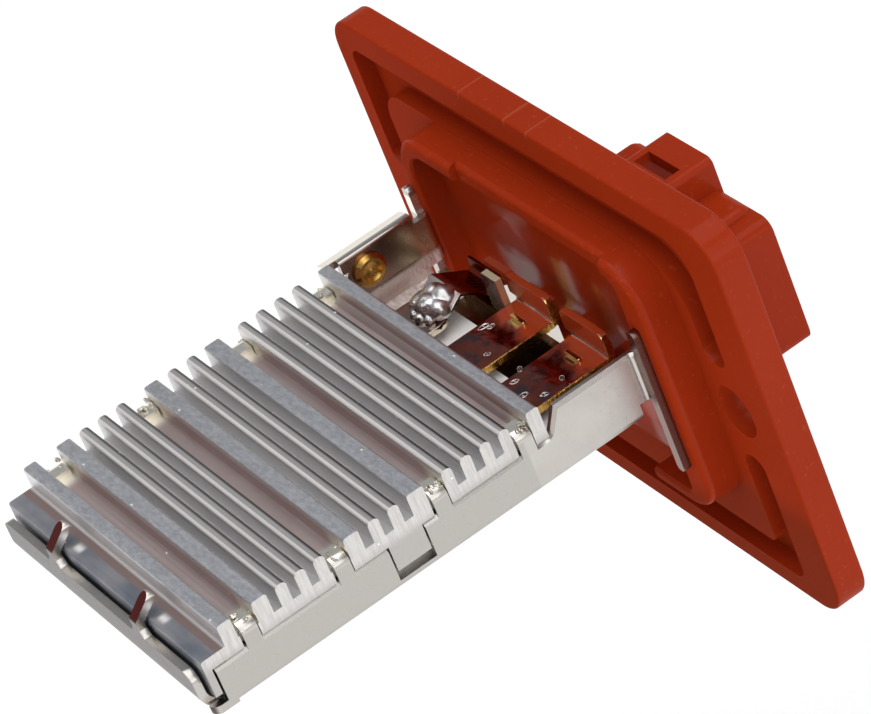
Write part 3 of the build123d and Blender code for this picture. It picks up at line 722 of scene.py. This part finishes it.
# helpers for Geometry Nodes
def startTree(name, sizes):  # a node group with named inputs for its sizes
    tree = bpy.data.node_groups.new(name, "GeometryNodeTree")
    tree.interface.new_socket("Geometry", in_out="INPUT", socket_type="NodeSocketGeometry")
    for label, (kind, value) in sizes.items():
        socket = tree.interface.new_socket(label, in_out="INPUT", socket_type="NodeSocket" + kind)
        if value is not None:
            socket.default_value = value
    tree.interface.new_socket("Geometry", in_out="OUTPUT", socket_type="NodeSocketGeometry")
    source = tree.nodes.new("NodeGroupInput")
    target = tree.nodes.new("NodeGroupOutput")
    return tree, source, target


def chain(tree, kind, links=(), values=(), **settings):
    made = tree.nodes.new(kind)
    for key, value in settings.items():
        setattr(made, key, value)
    for key, value in values:
        made.inputs[key].default_value = value
    for key, socket in links:
        tree.links.new(socket, made.inputs[key])
    return made


def runTree(piece, tree, sizes):
    modifier = piece.modifiers.new(tree.name, "NODES")
    modifier.node_group = tree
    for item in tree.interface.items_tree:
        if item.in_out == "INPUT" and item.name in sizes:
            modifier[item.identifier] = sizes[item.name]
    return applied(piece)


def placeCopies(tree, points, copy, rotation, scale):  # real copies on points
    placed = chain(
        tree,
        "GeometryNodeInstanceOnPoints",
        [("Points", points), ("Instance", copy), ("Rotation", rotation), ("Scale", scale)],
    )
    return chain(tree, "GeometryNodeRealizeInstances", [("Geometry", placed.outputs[0])]).outputs[0]


def ruffle(tree, geometry, wobble, amount):  # moves the surface by the colour of a noise node
    centred = chain(
        tree,
        "ShaderNodeVectorMath",
        [(0, wobble.outputs["Color"])],
        [(1, (0.5, 0.5, 0.5))],
        operation="SUBTRACT",
    )
    small = chain(
        tree,
        "ShaderNodeVectorMath",
        [(0, centred.outputs[0]), ("Scale", amount)],
        operation="SCALE",
    )
    shaken = chain(
        tree,
        "GeometryNodeSetPosition",
        [("Geometry", geometry), ("Offset", small.outputs[0])],
    )
    return shaken.outputs[0]


def endTree(tree, geometry, metal, target):
    painted = chain(tree, "GeometryNodeSetMaterial", [("Geometry", geometry), ("Material", metal)])
    tree.links.new(painted.outputs[0], target.inputs[0])
    return tree


# sheared edges of the flat terminals: short ridges across the thickness
shearedSetup = {
    "edges": {  # x of the edge, start and end along y, top of the riser, all in mm
        "centreEdge": (3.38, -17.5, -4.05, 5.1),
        "rightEdge": (13.88, -17.5, -4.05, 5.1),
    },
    "middleHeight": 2.7,
    "ridgeCount": 72,
    "ridgeSize": (0.36 * mm, 0.82 * mm, 0.12 * mm),  # out, across, along
    "ridgeLeast": (0.30, 0.72, 0.5),  # least and most of the ridge size
    "ridgeMost": (1.35, 1.0, 1.8),
    "cornerRadius": 0.5 * mm,
    "seed": 7,
}


def ridgeTree():
    tree, source, target = startTree(
        "shearedRidges",
        {
            "Ridge Count": ("Int", 60),
            "Ridge Size": ("Vector", None),
            "Seed": ("Int", 1),
            "Metal": ("Material", None),
        },
    )
    given = source.outputs
    curve = chain(tree, "GeometryNodeMeshToCurve", [("Mesh", given["Geometry"])])
    bend = chain(
        tree,
        "GeometryNodeFilletCurve",
        [("Curve", curve.outputs[0])],
        [("Radius", shearedSetup["cornerRadius"]), ("Count", 6)],
        mode="POLY",
    )
    points = chain(
        tree,
        "GeometryNodeCurveToPoints",
        [("Curve", bend.outputs[0]), ("Count", given["Ridge Count"])],
        mode="COUNT",
    )
    cube = chain(tree, "GeometryNodeMeshCube", [("Size", given["Ridge Size"])])
    varied = chain(
        tree,
        "FunctionNodeRandomValue",
        [("Seed", given["Seed"])],
        [("Min", shearedSetup["ridgeLeast"]), ("Max", shearedSetup["ridgeMost"])],
        data_type="FLOAT_VECTOR",
    )
    real = placeCopies(
        tree,
        points.outputs["Points"],
        cube.outputs["Mesh"],
        points.outputs["Rotation"],
        varied.outputs["Value"],
    )
    return endTree(tree, real, given["Metal"], target)


def makeShearedEdges():
    s = shearedSetup
    tree = ridgeTree()
    metal = finishes["sheared_brass"]
    for index, (name, (x, start, end, top)) in enumerate(s["edges"].items()):
        middle = s["middleHeight"]
        path = [(x, start, middle), (x, end, middle), (x, end, top)]
        mesh = bpy.data.meshes.new(name)
        mesh.from_pydata([tuple(v * mm for v in point) for point in path], [(0, 1), (1, 2)], [])
        piece = addPiece(name, mesh, metal)
        runTree(
            piece,
            tree,
            {
                "Ridge Count": s["ridgeCount"],
                "Ridge Size": s["ridgeSize"],
                "Seed": s["seed"] + index,
                "Metal": metal,
            },
        )
        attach(piece, "root")
    print("sheared edges on", len(s["edges"]), "terminals")


makeShearedEdges()


# weld marks on the terminals: small craters
weldSetup = {
    "marks": (  # x, y in mm, size
        (-2.6, -9.4, 1.15),
        (-1.9, -8.9, 0.85),
        (1.7, -11.8, 0.75),
        (6.9, -11.1, 0.9),
        (8.2, -12.6, 1.0),
        (12.8, -11.9, 0.9),
        (12.2, -9.3, 0.8),
        (10.9, -13.4, 1.1),
    ),
    "height": 3.1,
    "rimRadius": 0.34 * mm,
    "rimThickness": 0.085 * mm,
    "squash": (1.5, 0.85, 0.7),
    "tilt": 0.1,
    "wobbleScale": 2500.0,
    "ruffle": 0.00030,
    "seed": 3,
}


def craterTree():
    tree, source, target = startTree(
        "weldCraters",
        {
            "Rim Radius": ("Float", 0.0003),
            "Rim Thickness": ("Float", 0.0001),
            "Ruffle": ("Float", 0.0003),
            "Seed": ("Int", 1),
            "Metal": ("Material", None),
        },
    )
    given = source.outputs
    tilt = weldSetup["tilt"]
    ring = chain(
        tree,
        "GeometryNodeCurvePrimitiveCircle",
        [("Radius", given["Rim Radius"])],
        [("Resolution", 24)],
    )
    section = chain(
        tree,
        "GeometryNodeCurvePrimitiveCircle",
        [("Radius", given["Rim Thickness"])],
        [("Resolution", 8)],
    )
    rim = chain(
        tree,
        "GeometryNodeCurveToMesh",
        [("Curve", ring.outputs[0]), ("Profile Curve", section.outputs[0])],
    )
    bead = chain(
        tree,
        "GeometryNodeMeshUVSphere",
        [("Radius", given["Rim Thickness"])],
        [("Segments", 12), ("Rings", 8)],
    )
    crater = chain(tree, "GeometryNodeJoinGeometry")
    tree.links.new(rim.outputs[0], crater.inputs[0])
    tree.links.new(bead.outputs[0], crater.inputs[0])
    sizeOf = chain(tree, "GeometryNodeInputNamedAttribute", values=[("Name", "markSize")])
    spin = chain(
        tree,
        "FunctionNodeRandomValue",
        [("Seed", given["Seed"])],
        [("Min", (-tilt, -tilt, 0.0)), ("Max", (tilt, tilt, 6.28))],
        data_type="FLOAT_VECTOR",
    )
    squash = chain(
        tree,
        "ShaderNodeVectorMath",
        [(0, sizeOf.outputs["Attribute"])],
        [(1, weldSetup["squash"])],
        operation="MULTIPLY",
    )
    real = placeCopies(
        tree,
        given["Geometry"],
        crater.outputs[0],
        spin.outputs["Value"],
        squash.outputs[0],
    )
    wobble = chain(tree, "ShaderNodeTexNoise", values=[("Scale", weldSetup["wobbleScale"])])
    shaken = ruffle(tree, real, wobble, given["Ruffle"])
    soft = chain(tree, "GeometryNodeSetShadeSmooth", [("Geometry", shaken)])
    return endTree(tree, soft.outputs[0], given["Metal"], target)


def makeWeldMarks():
    s = weldSetup
    mesh = bpy.data.meshes.new("weldMarks")
    mesh.from_pydata([(x * mm, y * mm, s["height"] * mm) for x, y, size in s["marks"]], [], [])
    sizes = mesh.attributes.new("markSize", "FLOAT_VECTOR", "POINT")
    for index, (x, y, size) in enumerate(s["marks"]):
        sizes.data[index].vector = (size, size, size)
    metal = finishes["solder"]
    piece = addPiece("weldMarks", mesh, metal)
    runTree(
        piece,
        craterTree(),
        {
            "Rim Radius": s["rimRadius"],
            "Rim Thickness": s["rimThickness"],
            "Ruffle": s["ruffle"],
            "Seed": s["seed"],
            "Metal": metal,
        },
    )
    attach(piece, "root")
    print("weld marks:", len(s["marks"]))


makeWeldMarks()


# torn burrs where the tabs were pressed over the heat sink
burrSetup = {
    "along": (-52.25, -41.05, -29.1, -18.62),  # y of the tabs in mm
    "sides": ((-20.2, -18.4), (18.6, 20.2)),  # x of the burrs on the left and right
    "height": (5.9, 6.9),
    "perTab": 5,
    "spread": 0.8,  # along the tab, in mm
    "size": (0.20, 0.42),  # radius in mm
    "stretch": (1.0, 1.9),
    "flatness": 0.55,
    "tilt": 0.8,
    "wobble": (2400.0, 1.0),  # scale and detail
    "ruffle": 0.00045,
    "seed": 11,
}


def burrTree():
    tree, source, target = startTree(
        "tornBurrs",
        {
            "Ruffle": ("Float", 0.0004),
            "Seed": ("Int", 1),
            "Metal": ("Material", None),
        },
    )
    given = source.outputs
    tilt = burrSetup["tilt"]
    scale, detail = burrSetup["wobble"]
    ball = chain(tree, "GeometryNodeMeshIcoSphere", values=[("Radius", 1.0), ("Subdivisions", 3)])
    sizeOf = chain(tree, "GeometryNodeInputNamedAttribute", values=[("Name", "markSize")])
    sizeOf.data_type = "FLOAT_VECTOR"
    spin = chain(
        tree,
        "FunctionNodeRandomValue",
        [("Seed", given["Seed"])],
        [("Min", (-tilt, -tilt, 0.0)), ("Max", (tilt, tilt, 6.28))],
        data_type="FLOAT_VECTOR",
    )
    real = placeCopies(
        tree,
        given["Geometry"],
        ball.outputs["Mesh"],
        spin.outputs["Value"],
        sizeOf.outputs["Attribute"],
    )
    wobble = chain(tree, "ShaderNodeTexNoise", values=[("Scale", scale), ("Detail", detail)])
    shaken = ruffle(tree, real, wobble, given["Ruffle"])
    return endTree(tree, shaken, given["Metal"], target)


def makeBurrs():
    s = burrSetup
    dice = random.Random(s["seed"])
    places = []
    sizes = []
    for across in s["sides"]:
        for y in s["along"]:
            for index in range(s["perTab"]):
                x = dice.uniform(*across)
                z = dice.uniform(*s["height"])
                places.append((x * mm, (y + dice.uniform(-s["spread"], s["spread"])) * mm, z * mm))
                radius = dice.uniform(*s["size"]) * mm
                longer = radius * dice.uniform(*s["stretch"])
                sizes.append((longer, radius, radius * s["flatness"]))
    mesh = bpy.data.meshes.new("tabBurrs")
    mesh.from_pydata(places, [], [])
    mark = mesh.attributes.new("markSize", "FLOAT_VECTOR", "POINT")
    for index, size in enumerate(sizes):
        mark.data[index].vector = size
    metal = finishes["torn_sheet"]
    piece = addPiece("tabBurrs", mesh, metal)
    runTree(piece, burrTree(), {"Ruffle": s["ruffle"], "Seed": s["seed"], "Metal": metal})
    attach(piece, "root")
    print("burrs on", len(places) // s["perTab"], "tabs")


makeBurrs()


# solder of the thermal link: one lump, crumpled in front
lumpSetup = {
    "balls": (  # offset from the middle of the CAD bead and radius, in mm
        (-1.2, 0.0, -0.25, 1.35),
        (0.4, 0.3, 0.0, 1.60),
        (1.7, 0.6, 0.0, 1.30),
        (-0.6, 1.6, 0.15, 1.50),
        (0.9, 1.9, 0.3, 1.55),
        (-2.1, 0.8, -0.3, 0.95),
        (-0.9, -1.2, -0.45, 0.60),
        (0.5, -1.3, -0.45, 0.65),
        (1.6, -0.9, -0.40, 0.55),
    ),
    "grain": 0.075 * mm,
    "relax": (0.6, 24),  # factor and steps
    "rough": (0.17 * mm, 1300.0, 3600.0),  # height, coarse and fine noise
    "fineShare": 0.6,
    "crumpled": (-1.4 * mm, 0.9 * mm),  # rough in front, a smooth dome behind
    "smoothed": 0.75,
    "bottom": 3.12 * mm,
}


def makeSolderLump():
    s = lumpSetup
    low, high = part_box("fuse_solder")
    middle = (low + high) / 2
    form = bmesh.new()
    for x, y, z, radius in s["balls"]:
        made = bmesh.ops.create_icosphere(form, subdivisions=3, radius=radius * mm)
        bmesh.ops.translate(form, verts=made["verts"], vec=middle + Vector((x, y, z)) * mm)
    mesh = bpy.data.meshes.new("solderLump")
    form.to_mesh(mesh)
    form.free()
    piece = addPiece("solderLump", mesh, finishes["solder"])
    remesh = piece.modifiers.new("oneLump", "REMESH")
    remesh.mode = "VOXEL"
    remesh.voxel_size = s["grain"]
    relax = piece.modifiers.new("relax", "SMOOTH")
    relax.factor, relax.iterations = s["relax"]
    applied(piece)
    reach, coarse, fine = s["rough"]
    front, back = s["crumpled"]
    for vertex in piece.data.vertices:
        behind = min(1.0, max(0.0, (vertex.co.y - middle.y - front) / (back - front)))
        lift = noise.noise(vertex.co * coarse)
        lift += s["fineShare"] * noise.noise(vertex.co * fine) * (1.0 - behind)
        vertex.co += vertex.normal * lift * reach * (1.0 - s["smoothed"] * behind)
        vertex.co.z = max(vertex.co.z, s["bottom"])
    piece.data.materials.clear()
    piece.data.materials.append(finishes["solder"])
    piece.data.shade_smooth()
    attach(piece, "root")
    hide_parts("fuse_solder")
    print("solder lump", len(piece.data.polygons), "faces")


makeSolderLump()


# floor, sky and lights
stageSetup = {
    "floorSize": 6.0,
    "floorHeight": -0.10,
    "floorColour": (0.95, 0.95, 0.95),
    "floorRoughness": 0.75,
    "floorGlow": 0.18,
    "horizonColour": (0.92, 0.90, 0.86),
    "highColour": (0.27, 0.285, 0.30),
    "horizonHeights": (0.24, 0.50),  # height of the view direction where the paleness fades
    "lights": {  # place, aim, size and power
        "softTop": ((0.10, -0.10, 1.10), (0, -0.02, 0), 1.5, 11.5),
        "softRight": ((0.85, 0.05, 0.45), (0, -0.02, 0), 0.6, 1.6),
    },
}


def makeStage():
    s = stageSetup
    half = s["floorSize"] / 2
    z = s["floorHeight"]
    mesh = bpy.data.meshes.new("paleFloor")
    corners = [(-half, -half, z), (half, -half, z), (half, half, z), (-half, half, z)]
    mesh.from_pydata(corners, [], [(0, 1, 2, 3)])
    material, tree, shader = startMaterial("paleFloor", 0.0, s["floorRoughness"])
    shader.inputs["Base Color"].default_value = (*s["floorColour"], 1)
    shader.inputs["Emission Color"].default_value = (1, 1, 1, 1)
    shader.inputs["Emission Strength"].default_value = s["floorGlow"]
    floor = addPiece("paleFloor", mesh, material)
    world = bpy.data.worlds.new("studio")
    bpy.context.scene.world = world
    world.use_nodes = True
    skyTree = world.node_tree
    skyCoords = skyTree.nodes.new("ShaderNodeTexCoord")
    height = axisOf(skyTree, skyCoords.outputs["Generated"], 2)
    upwards = remap(skyTree, height, *s["horizonHeights"], 0.0, 1.0, True)
    sky = blendColour(skyTree, upwards, s["horizonColour"], s["highColour"])
    skyTree.links.new(sky, skyTree.nodes["Background"].inputs["Color"])
    for name, (where, aim, size, power) in s["lights"].items():
        data = bpy.data.lights.new(name, "AREA")
        data.shape = "SQUARE"
        data.size = size
        data.energy = power
        lamp = bpy.data.objects.new(name, data)
        bpy.context.scene.collection.objects.link(lamp)
        lamp.location = where
        lamp.rotation_mode = "QUATERNION"
        lamp.rotation_quaternion = (Vector(aim) - Vector(where)).to_track_quat("-Z", "Y")
    view = bpy.context.scene.view_settings
    view.view_transform = "Standard"
    view.look = "None"
    print("floor and", len(s["lights"]), "lights")


makeStage()
